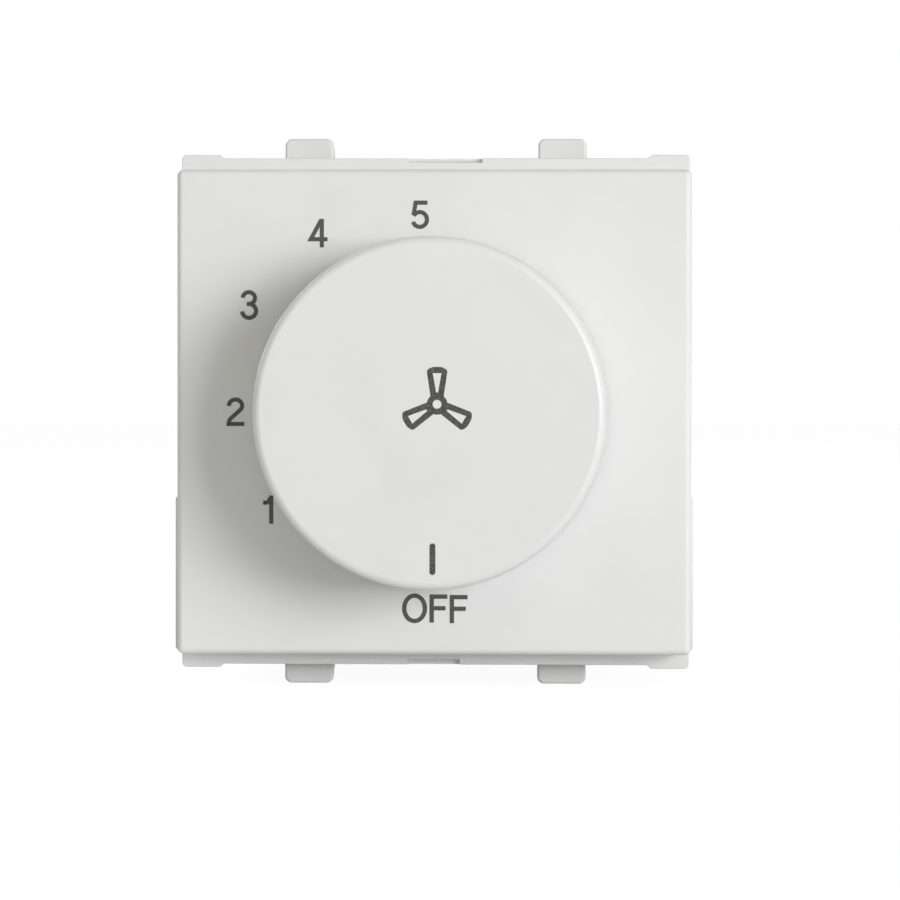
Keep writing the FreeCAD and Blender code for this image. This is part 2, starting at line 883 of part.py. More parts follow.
def spindle():
    """A turned shaft: D end for the knob, ring groove, square drive and tail pivot."""
    tip = rod_y(spindle_radius, spindle_tip_y, rotor_front_y)
    tip = tip.makeChamfer(spindle_tip_chamfer, edges_at_y(tip, spindle_tip_y))
    wide = spindle_radius + past
    flat = block((-wide, wide), (spindle_tip_y - past, spindle_flat_end_y), (-wide, spindle_flat_z))
    tip = tip.cut(flat)
    groove_front = ring_front_y - ring_side_clearance
    groove_rear = ring_rear_y + ring_side_clearance
    tip = tip.cut(tube_y(wide, ring_groove_radius, groove_front, groove_rear))
    half = spindle_square / 2
    drive_front = rotor_front_y - root
    drive = block((-half, half), (drive_front, rotor_rear_y), (-half, half))
    drive = drive.common(rod_y(spindle_radius, drive_front, rotor_rear_y))
    tail = rod_y(spindle_pivot_radius, rotor_rear_y - root, spindle_tail_y)
    return fused([tip, drive, tail])


def retaining_ring():
    """An open ring in the spindle's groove, in front of the bush."""
    ring = tube_y(ring_outer_radius, ring_groove_radius + ring_side_clearance, ring_front_y, ring_rear_y)
    half = ring_mouth / 2
    through = (ring_front_y - past, ring_rear_y + past)
    mouth = block((-half, half), through, (0, ring_outer_radius + past))
    return ring.cut(mouth)


def thrust_washer():
    """A washer between the rotor and the cover."""
    inner = spindle_radius + running_clearance
    return tube_y(washer_outer_radius, inner, washer_y, washer_y + washer_thickness)


def bridge_peg_places():
    return [-bridge_peg_start, -bridge_peg_start - bridge_peg_spacing]


def index_rotor():
    """Star wheel with a stop lug, hub and contact carrier, moulded in one piece."""
    star = rod_y(star_radius, rotor_front_y, star_rear_y)
    notch = rod_y(star_notch_radius, rotor_front_y - past, star_rear_y + past, 0, star_notch_centre)
    for index in range(int(round(360.0 / index_angle))):
        star = star.cut(turned(notch, index * index_angle))
    lug_z = (-stop_lug_width / 2, stop_lug_width / 2)
    lug = block((rotor_hub_radius - root, stop_lug_reach), (rotor_front_y, star_rear_y), lug_z)
    hub = rod_y(rotor_hub_radius, rotor_front_y, rotor_rear_y)
    carrier = rod_y(carrier_radius, rotor_rear_y - carrier_thickness, rotor_rear_y)
    pegs = []
    for z in bridge_peg_places():
        pegs.append(rod_y(bridge_peg_radius, rotor_rear_y - root, bridge_rear_y, 0, z))
    body = fused([star, lug, hub, carrier] + pegs)
    half = spindle_square / 2 + bore_clearance
    through = (rotor_front_y - past, rotor_rear_y + past)
    socket = block((-half, half), through, (-half, half))
    socket = socket.common(rod_y(spindle_radius + bore_clearance, through[0], through[1]))
    return body.cut(socket)


def stop_posts():
    """Two posts that end the rotor's half turn."""
    z = stop_lug_width / 2 + stop_clearance + stop_post_radius
    posts = []
    for x in (-stop_post_x, stop_post_x):
        posts.append(rod_y(stop_post_radius, cover_inner_y - root, star_rear_y, x, z))
    return posts


def leaf_seats():
    """Slotted blocks in the cover that hold the leaf spring's ends."""
    inner = leaf_half_length - leaf_seat_length
    outer = leaf_half_length + leaf_seat_clearance
    low = leaf_z - leaf_seat_clearance
    high = leaf_top_z + leaf_seat_clearance
    wall = switch_width / 2 - cover_wall / 2
    y_span = (cover_inner_y - root, star_rear_y)
    seats = []
    for side in (-1, 1):
        x_span = sorted((side * inner, side * outer))
        seats.append(block(x_span, y_span, (low - leaf_seat_height, low)))
        seats.append(block(x_span, y_span, (high, wall)))
    return seats


def index_spring():
    """A leaf spring whose round nose rests in a notch of the star wheel."""
    y_low = (cover_inner_y + star_rear_y - leaf_width) / 2
    y_high = y_low + leaf_width
    nose_outer = star_notch_radius - leaf_nose_clearance
    nose_inner = nose_outer - leaf_thickness
    centre = star_notch_centre
    nose = tube_y(nose_outer, nose_inner, y_low, y_high, 0, centre)
    upper_half = block((-nose_outer, nose_outer), (y_low, y_high), (centre, centre + nose_outer))
    pieces = [nose.cut(upper_half)]
    for side in (-1, 1):
        leg = sorted((side * nose_inner, side * nose_outer))
        pieces.append(block(leg, (y_low, y_high), (centre, leaf_top_z)))
        wing = sorted((side * nose_inner, side * leaf_half_length))
        pieces.append(block(wing, (y_low, y_high), (leaf_z, leaf_top_z)))
    return fused(pieces)


def rivet_places():
    places = []
    for x in (-rivet_place, rivet_place):
        for z in (-rivet_place, rivet_place):
            places.append((x, z))
    return places


def rivet_bosses(y_low, y_high):
    """Corner columns round the rivets, kept inside the switch's outline."""
    outline = rounded_block(switch_width, switch_width, y_low, y_high, switch_corner_radius)
    columns = [rod_y(rivet_boss_radius, y_low, y_high, x, z) for x, z in rivet_places()]
    return [column.common(outline) for column in columns]


def rivet_holes(y_low, y_high):
    radius = rivet_radius + rivet_clearance
    return [rod_y(radius, y_low - past, y_high + past, x, z) for x, z in rivet_places()]


def switch_cover():
    """The can of the rotary switch, with its bush, stops and spring seats."""
    can = rounded_block(switch_width, switch_width, switch_front_y, cover_rear_y, switch_corner_radius)
    inner_width = switch_width - 2 * cover_wall
    inner_corner = switch_corner_radius - cover_wall / 2
    cavity = rounded_block(inner_width, inner_width, cover_inner_y, cover_rear_y + past, inner_corner)
    bush = rod_y(bush_radius, bush_front_y, switch_front_y + root)
    bosses = rivet_bosses(cover_inner_y - root, cover_rear_y)
    body = fused([can.cut(cavity), bush] + bosses + stop_posts() + leaf_seats())
    bore = rod_y(spindle_radius + running_clearance, bush_front_y - past, cover_inner_y + past)
    body = body.cut(bore)
    for hole in rivet_holes(switch_front_y, cover_rear_y):
        body = body.cut(hole)
    return body


def contact_place(degrees, radius):
    """A place on a circle, counted clockwise from straight down as seen from the front."""
    angle = math.radians(degrees)
    return -radius * math.sin(angle), -radius * math.cos(angle)


def common_pin_place():
    return common_circle, 0.0


def contact_pin_places():
    """Where the speed contacts and the common contact pass through base and board."""
    places = [contact_place(angle, contact_circle) for angle in speed_angles]
    places.append(common_pin_place())
    return places


def base_feet():
    """Four short feet that space the base from the board, beside the rivets."""
    feet = []
    for x, z in rivet_places():
        foot_x = x - math.copysign(base_foot_shift, x)
        feet.append(rod_y(base_foot_radius, base_rear_y - root, board_front_y, foot_x, z))
    return feet


def switch_base():
    """The base that closes the switch and holds its contacts."""
    slab = rounded_block(switch_width, switch_width, cover_rear_y, base_rear_y, switch_corner_radius)
    inner_width = switch_width - 2 * cover_wall
    inner_corner = switch_corner_radius - cover_wall / 2
    recess = rounded_block(inner_width, inner_width, cover_rear_y - past, base_front_y, inner_corner)
    bosses = rivet_bosses(cover_rear_y, base_front_y + root)
    body = fused([slab.cut(recess)] + bosses + base_feet())
    pivot_radius = spindle_pivot_radius + running_clearance
    body = body.cut(rod_y(pivot_radius, base_front_y - past, base_rear_y + past))
    pin_radius = contact_pin_radius + contact_clearance
    for x, z in contact_pin_places():
        body = body.cut(rod_y(pin_radius, base_front_y - past, base_rear_y + past, x, z))
    for hole in rivet_holes(cover_rear_y, base_rear_y):
        body = body.cut(hole)
    return body


def switch_rivets():
    """Four rivets with a low chamfered head at each end."""
    chamfer = rivet_head_thickness / 2
    front_low = switch_front_y - rivet_head_thickness
    rear_high = base_rear_y + rivet_head_thickness
    rivets = []
    for x, z in rivet_places():
        shank = rod_y(rivet_radius, front_low, rear_high, x, z)
        front = rod_y(rivet_head_radius, front_low, switch_front_y, x, z)
        front = front.makeChamfer(chamfer, edges_at_y(front, front_low))
        rear = rod_y(rivet_head_radius, base_rear_y, rear_high, x, z)
        rear = rear.makeChamfer(chamfer, edges_at_y(rear, rear_high))
        rivets.append(fused([shank, front, rear]))
    return Part.makeCompound(rivets)


def fixed_contact(angle):
    """A round pad on the base, with its pin through base and board."""
    x, z = contact_place(angle, contact_circle)
    pad = rod_y(contact_pad_radius, contact_face_y, base_front_y, x, z)
    pin = rod_y(contact_pin_radius, contact_face_y, tail_rear_y, x, z)
    return fused([pad, pin])


def common_contact():
    """The ring that the wiper always touches, with its pin."""
    ring = tube_y(common_outer_radius, common_inner_radius, contact_face_y, base_front_y)
    x, z = common_pin_place()
    pin = rod_y(contact_pin_radius, contact_face_y, tail_rear_y, x, z)
    return fused([ring, pin])


def bridge_contact():
    """The wiper: a ring round the spindle's tail and an arm with two dimples."""
    inner = spindle_pivot_radius + bridge_ring_clearance
    ring = rod_y(inner + bridge_ring_wall, bridge_front_y, bridge_rear_y)
    half = bridge_width / 2
    reach = contact_circle + contact_pad_radius
    arm = block((-half, half), (bridge_front_y, bridge_rear_y), (-reach, 0))
    dimples = []
    for place in (common_circle, contact_circle):
        dimple = cone_y(bridge_dimple_radius, bridge_dimple_tip, bridge_rear_y, dimple_tip_y, 0, -place)
        dimples.append(dimple)
    body = fused([ring, arm] + dimples)
    body = body.cut(rod_y(inner, bridge_front_y - past, dimple_tip_y + past))
    hole_radius = bridge_peg_radius + bridge_peg_clearance
    for z in bridge_peg_places():
        body = body.cut(rod_y(hole_radius, bridge_front_y - past, bridge_rear_y, 0, z))
    return body


def capacitor_lead_places(length, z):
    reach = length / 2 - capacitor_lead_inset
    return [(-reach, z), (reach, z)]


def capacitor(length, thickness, height, z):
    """A box capacitor with two foot ribs and two leads."""
    rear = capacitor_front_y + height
    x_span = (-length / 2, length / 2)
    body = block(x_span, (capacitor_front_y, rear), (z - thickness / 2, z + thickness / 2))
    edges = edges_along(body, FRONT_TO_REAR) + edges_at_y(body, rear)
    pieces = [body.makeChamfer(capacitor_edge_radius, edges)]
    rooms = []
    for x, lead_z in capacitor_lead_places(length, z):
        rooms.append((x, lead_z, capacitor_lead_radius))
        pieces.append(rod_y(capacitor_lead_radius, tail_front_y, capacitor_front_y + root, x, lead_z))
    for x, pin_z in contact_pin_places():
        rooms.append((x, pin_z, contact_pin_radius))
    outer = length / 2 - capacitor_edge_radius
    inner = outer - capacitor_foot_length
    z_reach = thickness / 2 - capacitor_edge_radius
    for side in (-1, 1):
        foot_x = sorted((side * inner, side * outer))
        foot = block(foot_x, (board_rear_y, capacitor_front_y), (z - z_reach, z + z_reach))
        for x, room_z, radius in rooms:
            room = rod_y(radius + capacitor_lead_room, board_rear_y - past, capacitor_front_y, x, room_z)
            foot = foot.cut(room)
        pieces.append(foot)
    return fused(pieces)


def bent_lead(start, direction, end_y, radius):
    """A wire that leaves a resistor along its axis and bends down into the board."""
    bend = resistor_bend_radius
    corner = start + direction * (resistor_lead_reach - bend)
    inside = start - direction * root
    straight = Part.makeCylinder(radius, (corner - inside).Length, inside, direction)
    section = Part.Face(Part.Wire(Part.Circle(corner, direction, radius).toShape()))
    centre = corner + point(0, -bend, 0)
    toward_board = point(0, -1, 0)
    elbow = section.revolve(centre, direction.cross(toward_board), 90)
    foot = centre + direction * bend
    drop = Part.makeCylinder(radius, foot.y - end_y, foot, toward_board)
    return [straight, elbow, drop]


def axial_resistor(centre, direction, body_length, body_radius, lead_radius):
    """A moulded resistor body with a bent lead at each end."""
    reach = direction * (body_length / 2)
    body = Part.makeCylinder(body_radius, body_length, centre - reach, direction)
    rims = [edge for edge in body.Edges if isinstance(edge.Curve, Part.Circle)]
    body = body.makeChamfer(resistor_end_chamfer, rims)
    first = bent_lead(centre + reach, direction, tail_front_y, lead_radius)
    second = bent_lead(centre - reach, direction * -1, tail_front_y, lead_radius)
    return fused([body] + first + second)


def surge_centre(side):
    return point(side * surge_centre_x, surge_y, surge_z)


def bleed_centre(side):
    return point(side * bleed_x, bleed_y, small_z)


def resistor_lead_places():
    """Board places of the resistor leads, with each lead's radius."""
    places = []
    surge_reach = surge_body_length / 2 + resistor_lead_reach
    bleed_reach = bleed_body_length / 2 + resistor_lead_reach
    for side in (-1, 1):
        for end in (-1, 1):
            x = surge_centre(side).x + end * surge_reach
            places.append((x, surge_z, surge_lead_radius))
            z = small_z + end * bleed_reach
            places.append((bleed_centre(side).x, z, bleed_lead_radius))
    return places


def tongue_pin_places(x):
    return [x - tongue_pin_spacing / 2, x + tongue_pin_spacing / 2]


def board_holes():
    """Every round hole in the board: its place and its radius."""
    holes = []
    for x in (-post_x, post_x):
        for z in (-post_z, post_z):
            holes.append((x, z, screw_radius + lead_clearance))
    for x, z in contact_pin_places():
        holes.append((x, z, contact_pin_radius + lead_clearance))
    leads = capacitor_lead_places(capacitor_large_length, large_z)
    leads += capacitor_lead_places(capacitor_small_length, small_z)
    for x, z in leads:
        holes.append((x, z, capacitor_lead_radius + lead_clearance))
    for x, z, radius in resistor_lead_places():
        holes.append((x, z, radius + lead_clearance))
    return holes


def circuit_board():
    """The board, with a hole for every pin, lead and screw."""
    board = rounded_block(board_width, board_height, board_front_y, board_rear_y, board_corner_radius)
    through = (board_front_y - past, board_rear_y + past)
    for x, z, radius in board_holes():
        board = board.cut(rod_y(radius, through[0], through[1], x, z))
    half = tongue_pin_width / 2 + lead_clearance
    slot_low = tongue_leg_z - lead_clearance
    slot_high = tongue_leg_z + tongue_thickness + lead_clearance
    for terminal in terminal_places.values():
        for x in tongue_pin_places(terminal):
            board = board.cut(block((x - half, x + half), through, (slot_low, slot_high)))
    return board


def board_screws():
    """Four slotted screws that hold the board to the front plate's posts."""
    head_rear = board_rear_y + screw_head_height
    tip = board_rear_y - screw_length
    wide = screw_head_radius + past
    screws = []
    for x in (-post_x, post_x):
        for z in (-post_z, post_z):
            shank = rod_y(screw_radius, tip, head_rear, x, z)
            head = rod_y(screw_head_radius, board_rear_y, head_rear, x, z)
            head = head.makeChamfer(screw_head_height / 2, edges_at_y(head, head_rear))
            slot_y = (head_rear - screw_slot_depth, head_rear + past)
            slot_z = (z - screw_slot_width / 2, z + screw_slot_width / 2)
            slot = block((x - wide, x + wide), slot_y, slot_z)
            screws.append(fused([shank, head]).cut(slot))
    return Part.makeCompound(screws)


def bend_edges(strip, y, z):
    """The edges across a bent strip that pass through one place in its side view."""
    chosen = []
    for edge in edges_along(strip, SIDEWAYS):
        centre = edge.CenterOfMass
        if abs(centre.y - y) < 1e-6 and abs(centre.z - z) < 1e-6:
            chosen.append(edge)
    return chosen


def terminal_tongue(x):
    """A bent brass strip: pins in the board, a leg to the rear and a tongue in the cage."""
    leg_low = tongue_leg_z
    leg_high = tongue_leg_z + tongue_thickness
    end_z = cage_bottom_z - tongue_overlap
    left = x - tongue_width / 2
    outline = [
        point(left, board_rear_y, leg_high),
        point(left, tongue_rear_y, leg_high),
        point(left, tongue_rear_y, end_z),
        point(left, tongue_y, end_z),
        point(left, tongue_y, leg_low),
        point(left, board_rear_y, leg_low),
    ]
    strip = prism(outline, point(tongue_width, 0, 0))
    outside = bend_edges(strip, tongue_rear_y, leg_high)
    strip = strip.makeFillet(tongue_bend_radius + tongue_thickness, outside)
    inside = bend_edges(strip, tongue_y, leg_low)
    strip = strip.makeFillet(tongue_bend_radius, inside)
    pins = []
    half = tongue_pin_width / 2
    pin_y = (tail_front_y, board_rear_y + root)
    for pin_x in tongue_pin_places(x):
        pins.append(block((pin_x - half, pin_x + half), pin_y, (leg_low, leg_high)))
    return fused([strip] + pins)


def terminal_cage(x):
    """The loop that lifts the wire against the tongue, with a threaded rear wall."""
    half = cage_width / 2
    outer = block((x - half, x + half), (cage_start_y, cage_end_y), (cage_bottom_z, cage_top_z))
    outer = outer.makeFillet(cage_corner_radius, edges_along(outer, UPWARD))
    inner_half = half - cage_wall
    window_z = (cage_bottom_z - past, cage_top_z + past)
    window = block((x - inner_half, x + inner_half), (cage_wire_y, cage_thread_y), window_z)
    cage = outer.cut(window)
    thread_radius = clamp_screw_radius + running_clearance
    thread = rod_y(thread_radius, cage_thread_y - root, cage_end_y + past, x, terminal_screw_z)
    return cage.cut(thread)


def terminal_screw(x):
    """The clamp screw, with a slotted head to the rear."""
    z = terminal_screw_z
    shank = rod_y(clamp_screw_radius, clamp_tip_y, clamp_head_y, x, z)
    shank = shank.makeChamfer(clamp_tip_chamfer, edges_at_y(shank, clamp_tip_y))
    head = rod_y(clamp_head_radius, shoulder_rear_y, clamp_head_y, x, z)
    head = head.makeChamfer(clamp_head_chamfer, edges_at_y(head, clamp_head_y))
    screw = fused([shank, head])
    slot_y = (clamp_head_y - clamp_slot_depth, clamp_head_y + past)
    half = clamp_slot_width / 2
    wide = clamp_head_radius + past
    slot = block((x - wide, x + wide), slot_y, (z - half, z + half))
    cross = block((x - half, x + half), slot_y, (z - clamp_cross_reach, z + clamp_cross_reach))
    return screw.cut(slot).cut(cross)


def build_parts():
    parts = {
        "front_plate": front_plate(),
        "rear_housing": rear_housing(),
        "knob": knob(),
        "knob_spring": knob_spring(),
        "spindle": spindle(),
        "retaining_ring": retaining_ring(),
        "thrust_washer": thrust_washer(),
        "index_rotor": index_rotor(),
        "index_spring": index_spring(),
        "switch_cover": switch_cover(),
        "switch_base": switch_base(),
        "switch_rivets": switch_rivets(),
        "bridge_contact": bridge_contact(),
        "common_contact": common_contact(),
        "circuit_board": circuit_board(),
        "board_screws": board_screws(),
        "capacitor_large": capacitor(
            capacitor_large_length, capacitor_large_thickness, capacitor_large_height, large_z
        ),
        "capacitor_small": capacitor(
            capacitor_small_length, capacitor_small_thickness, capacitor_small_height, small_z
        ),
    }
    for number, angle in enumerate(speed_angles, start=1):
        parts["fixed_contact_%d" % number] = fixed_contact(angle)
    for number, side in ((1, -1), (2, 1)):
        parts["surge_resistor_%d" % number] = axial_resistor(
            surge_centre(side), SIDEWAYS, surge_body_length, surge_body_radius, surge_lead_radius
        )
        parts["bleed_resistor_%d" % number] = axial_resistor(
            bleed_centre(side), UPWARD, bleed_body_length, bleed_body_radius, bleed_lead_radius
        )
    for name, x in terminal_places.items():
        parts["terminal_tongue_" + name] = terminal_tongue(x)
        parts["terminal_cage_" + name] = terminal_cage(x)
        parts["terminal_screw_" + name] = terminal_screw(x)
    return parts


os.makedirs("parts", exist_ok=True)
for node, shape in build_parts().items():
    shape.exportStep("parts/" + node + ".step")
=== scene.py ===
import json
import math

import bmesh
import bpy
from mathutils import Matrix, Vector


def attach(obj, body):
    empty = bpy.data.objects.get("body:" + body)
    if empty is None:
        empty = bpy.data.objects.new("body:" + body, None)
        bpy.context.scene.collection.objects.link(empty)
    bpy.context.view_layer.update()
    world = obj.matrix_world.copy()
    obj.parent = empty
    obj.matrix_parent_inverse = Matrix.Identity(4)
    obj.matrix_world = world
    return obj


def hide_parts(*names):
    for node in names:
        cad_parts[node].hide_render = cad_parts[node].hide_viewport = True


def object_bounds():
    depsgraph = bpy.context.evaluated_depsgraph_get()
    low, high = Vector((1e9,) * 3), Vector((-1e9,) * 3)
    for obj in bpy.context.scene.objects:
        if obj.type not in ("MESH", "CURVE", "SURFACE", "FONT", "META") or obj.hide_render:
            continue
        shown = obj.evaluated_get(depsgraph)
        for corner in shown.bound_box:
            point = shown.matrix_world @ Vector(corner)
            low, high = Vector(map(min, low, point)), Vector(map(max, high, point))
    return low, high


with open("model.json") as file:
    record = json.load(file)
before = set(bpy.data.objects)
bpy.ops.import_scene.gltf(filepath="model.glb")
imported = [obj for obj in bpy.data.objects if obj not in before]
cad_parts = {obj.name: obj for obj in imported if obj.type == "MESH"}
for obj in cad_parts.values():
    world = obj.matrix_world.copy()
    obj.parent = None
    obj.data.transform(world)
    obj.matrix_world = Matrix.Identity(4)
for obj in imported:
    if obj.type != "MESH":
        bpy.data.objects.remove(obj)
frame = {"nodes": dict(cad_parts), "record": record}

# The looks of a stepped fan speed control switch, around its solid model.
# The front faces -Y, +X is to the right seen from the front, and +Z is up.
# Shapes are worked out in millimetres and stored in metres.

cad_low, cad_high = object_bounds()

MM = 0.001
FRONT_TO_REAR = (0, 1, 0)
REAR_TO_FRONT = (0, -1, 0)
UPWARD = (0, 0, 1)

# Knob
knob_radius = 14.8
knob_base_radius = 15.1
knob_front_y = -17.1
knob_rear_y = -6.1
knob_wall = 1.8
knob_edge_radius = 0.7
knob_edge_steps = 10
knob_rim_radius = 0.2
knob_rim_steps = 3
knob_boss_radius = 4.9
knob_boss_end_y = -6.7
knob_bore_radius = 3.04
knob_flat_z = -1.54
knob_key_margin = 0.3
knob_rib_count = 6
knob_rib_thickness = 1.0
knob_rib_end_y = -8.5
knob_turn_steps = 192
grip_slot_width = 3.26
grip_slot_depth = 0.48
grip_slot_start_y = -14.5
grip_slot_overlap = 0.1

# Engraved pointer and fan symbol in the knob's front, and the ink in them
engraving_depth = 0.2
ink_set_back = 0.05
corner_steps = 8
pointer_x = 0.29
pointer_width = 0.5
pointer_inner = 10.86
pointer_outer = 13.52
pointer_end_share = 0.99
symbol_x = 0.66
symbol_z = 0.754
symbol_hub_outer = 0.87
symbol_hub_inner = 0.37
symbol_hub_steps = 64
symbol_blades = 3
symbol_reach = 3.12
symbol_shoulder = 2.86
symbol_tip_width = 1.76
symbol_crown_width = 0.8
symbol_root_width = 1.02
symbol_corner = 0.2
symbol_window_reach = 2.6
symbol_window_width = 0.73
symbol_window_root = 0.99
symbol_window_root_width = 0.16

# Softness of the mouldings' outer rims, how far out from the middle each group of rims lies, and
# the height above and below the middle at which a cut ends the clips' rims, behind the flange
rim_steps = 3
flange_softness = 0.28
flange_rims_z = 21.5
flange_rims_y = -0.6
pad_softness = 0.12
pad_rims_x = 22.4
clip_softness = 0.25
clip_rims_z = 21.4
clip_cut_z = 21.5

# Print on the face
face_y = -5.6
print_thickness = 0.025
print_sink = 0.02
number_line = 0.36
word_line = 0.38
arc_step_degrees = 10
arc_fewest_steps = 4

# Working distances: how far a cutter reaches past what it cuts, how deep a joined piece starts
# inside the wall, how near two points are taken as one place, and how near they are welded
past = 1.0
sunk = 0.5
near = 1e-3
knob_weld = 1e-4
stroke_weld = 0.004
moulding_weld = 0.002
cut_snap = 1e-4

# Shading, in degrees: up to where a moulding counts as flat, and from where an edge looks sharp
flat_degrees = 0.5
sharp_degrees = 35.0
print_sharp_degrees = 60.0

# Patterns in the finishes: spots to a millimetre, and how fine their detail goes
cloud_pattern = (0.12, 4.0)
gloss_pattern = (0.9, 5.0)
wave_pattern = (0.25, 2.0)
grain_pattern = (9.0, 2.0)
stain_pattern = (0.7, 4.0)
tool_mark_pattern = (6.0, 3.0)
speck_pattern = (5.0, 4.0)
pattern_low = 0.3
pattern_high = 0.7

# Reliefs in the finishes: heights in millimetres, and strengths
grain_strength = 0.6
tool_mark_height = 0.002
tool_mark_strength = 0.5
speck_height = 0.01
speck_strength = 0.5
plastic_ior = 1.5
ink_roughness = 0.55

# Floor and room
floor_half_width = 2000
floor_paper_colour = (0.8, 0.8, 0.79, 1)
floor_thin_colour = (0.12, 0.12, 0.12, 1)
floor_glow = 0.945
room_white = (1, 1, 1, 1)
room_soft_colour = (1.0, 0.988, 0.925, 1)
room_side_strength = 0.135
room_end_strength = 0.62

# Lamps: sizes in metres, then degrees to the right of the front, degrees above level, and watts
lamp_distance = 0.9
lamp_width = 0.54
lamp_height = 0.5
lamp_colour = (0.94, 0.955, 1.0)
LAMPS = {
    "key_light": (40, 3, 8.7),
    "rear_fill": (215, 25, 4.0),
}

# Camera: its place and reach in metres, its turns in degrees, its lens and sensor in millimetres
camera_place = (0.0098781, -0.3056, 0.0025121)
camera_yaw = -1.6141
camera_pitch = -1.1056
camera_roll = 0.0869
camera_lens = 138.36
camera_sensor = 36
camera_nearest = 0.01
camera_farthest = 20


def linear(red, green, blue):
    """A colour as the eye reads it, 0 to 255, turned into the renderer's own values."""
    shares = []
    for value in (red, green, blue):
        share = value / 255
        shares.append(share / 12.92 if share <= 0.04045 else ((share + 0.055) / 1.055) ** 2.4)
    return (*shares, 1.0)


def millimetres(x, y, z):
    return Vector((x * MM, y * MM, z * MM))


def share_of_turn(index, count):
    """The turn about the knob's axis that takes the first of several equal places to another."""
    return Matrix.Rotation(index * 2 * math.pi / count, 4, "Y")


# Materials


def new_material(name):
    """A material, its shader, and the object's own coordinates in millimetres."""
    material = bpy.data.materials.new(name)
    material.use_nodes = True
    nodes = material.node_tree.nodes
    shader = nodes["Principled BSDF"]
    place = nodes.new("ShaderNodeTexCoord")
    to_millimetres = nodes.new("ShaderNodeMapping")
    to_millimetres.inputs["Scale"].default_value = (1 / MM, 1 / MM, 1 / MM)
    material.node_tree.links.new(place.outputs["Object"], to_millimetres.inputs["Vector"])
    return material, shader, to_millimetres.outputs["Vector"]


def noise(material, place, pattern, stretch=(1, 1, 1)):
    """A soft uneven pattern, drawn out along an axis where it is stretched."""
    nodes, links = material.node_tree.nodes, material.node_tree.links
    spots, detail = pattern
    stretched = nodes.new("ShaderNodeMapping")
    stretched.inputs["Scale"].default_value = stretch
    clouding = nodes.new("ShaderNodeTexNoise")
    clouding.inputs["Scale"].default_value = spots
    clouding.inputs["Detail"].default_value = detail
    links.new(place, stretched.inputs["Vector"])
    links.new(stretched.outputs["Vector"], clouding.inputs["Vector"])
    return clouding.outputs["Fac"]


def spread(material, value, low, high):
    """A pattern's middle range stretched between two values."""
    ranged = material.node_tree.nodes.new("ShaderNodeMapRange")
    ranged.inputs["From Min"].default_value = pattern_low
    ranged.inputs["From Max"].default_value = pattern_high
    ranged.inputs["To Min"].default_value = low
    ranged.inputs["To Max"].default_value = high
    material.node_tree.links.new(value, ranged.inputs["Value"])
    return ranged.outputs["Result"]


def between(material, value, dark, light):
    """A colour that goes from dark to light with a pattern."""
    ramp = material.node_tree.nodes.new("ShaderNodeValToRGB")
    first, last = ramp.color_ramp.elements
    first.position, first.color = pattern_low, dark
    last.position, last.color = pattern_high, light
    material.node_tree.links.new(value, ramp.inputs["Fac"])
    return ramp.outputs["Color"]


def bumped(material, shader, value, height, strength=1.0, below=None):
    """Relief of a height in millimetres, on top of another relief if there is one."""
    links = material.node_tree.links
    bump = material.node_tree.nodes.new("ShaderNodeBump")
    bump.inputs["Strength"].default_value = strength
    bump.inputs["Distance"].default_value = height * MM
    links.new(value, bump.inputs["Height"])
    if below is not None:
        links.new(below, bump.inputs["Normal"])
    links.new(bump.outputs["Normal"], shader.inputs["Normal"])
    return bump.outputs["Normal"]


def moulded_plastic(
    name, dark, light, smooth=0.42, rough=0.52, grain=0.0015, flow=0.003, shine=0.35
):
    """Moulded plastic: faint clouding, uneven gloss, slow waves and fine grain."""
    material, shader, place = new_material(name)
    links = material.node_tree.links
    clouds = noise(material, place, cloud_pattern)
    links.new(between(material, clouds, dark, light), shader.inputs["Base Color"])
    gloss = noise(material, place, gloss_pattern)
    links.new(spread(material, gloss, smooth, rough), shader.inputs["Roughness"])
    waves = bumped(material, shader, noise(material, place, wave_pattern), flow)
    fine = noise(material, place, grain_pattern)
    bumped(material, shader, fine, grain, grain_strength, waves)
    shader.inputs["IOR"].default_value = plastic_ior
    shader.inputs["Specular IOR Level"].default_value = shine
    return material


def worked_metal(name, dark, light, smooth, rough, stretch=(1, 1, 1)):
    """Stamped, turned or plated metal: small stains and fine tool marks."""
    material, shader, place = new_material(name)
    links = material.node_tree.links
    stains = noise(material, place, stain_pattern)
    links.new(between(material, stains, dark, light), shader.inputs["Base Color"])
    marks = noise(material, place, tool_mark_pattern, stretch)
    links.new(spread(material, marks, smooth, rough), shader.inputs["Roughness"])
    bumped(material, shader, marks, tool_mark_height, tool_mark_strength)
    shader.inputs["Metallic"].default_value = 1.0
    return material


def printed_ink(name, dark, light):
    """Dark grey ink with small pale specks where it lies thin."""
    material, shader, place = new_material(name)
    links = material.node_tree.links
    specks = noise(material, place, speck_pattern)
    links.new(between(material, specks, dark, light), shader.inputs["Base Color"])
    shader.inputs["Roughness"].default_value = ink_roughness
    bumped(material, shader, specks, speck_height, speck_strength)
    return material


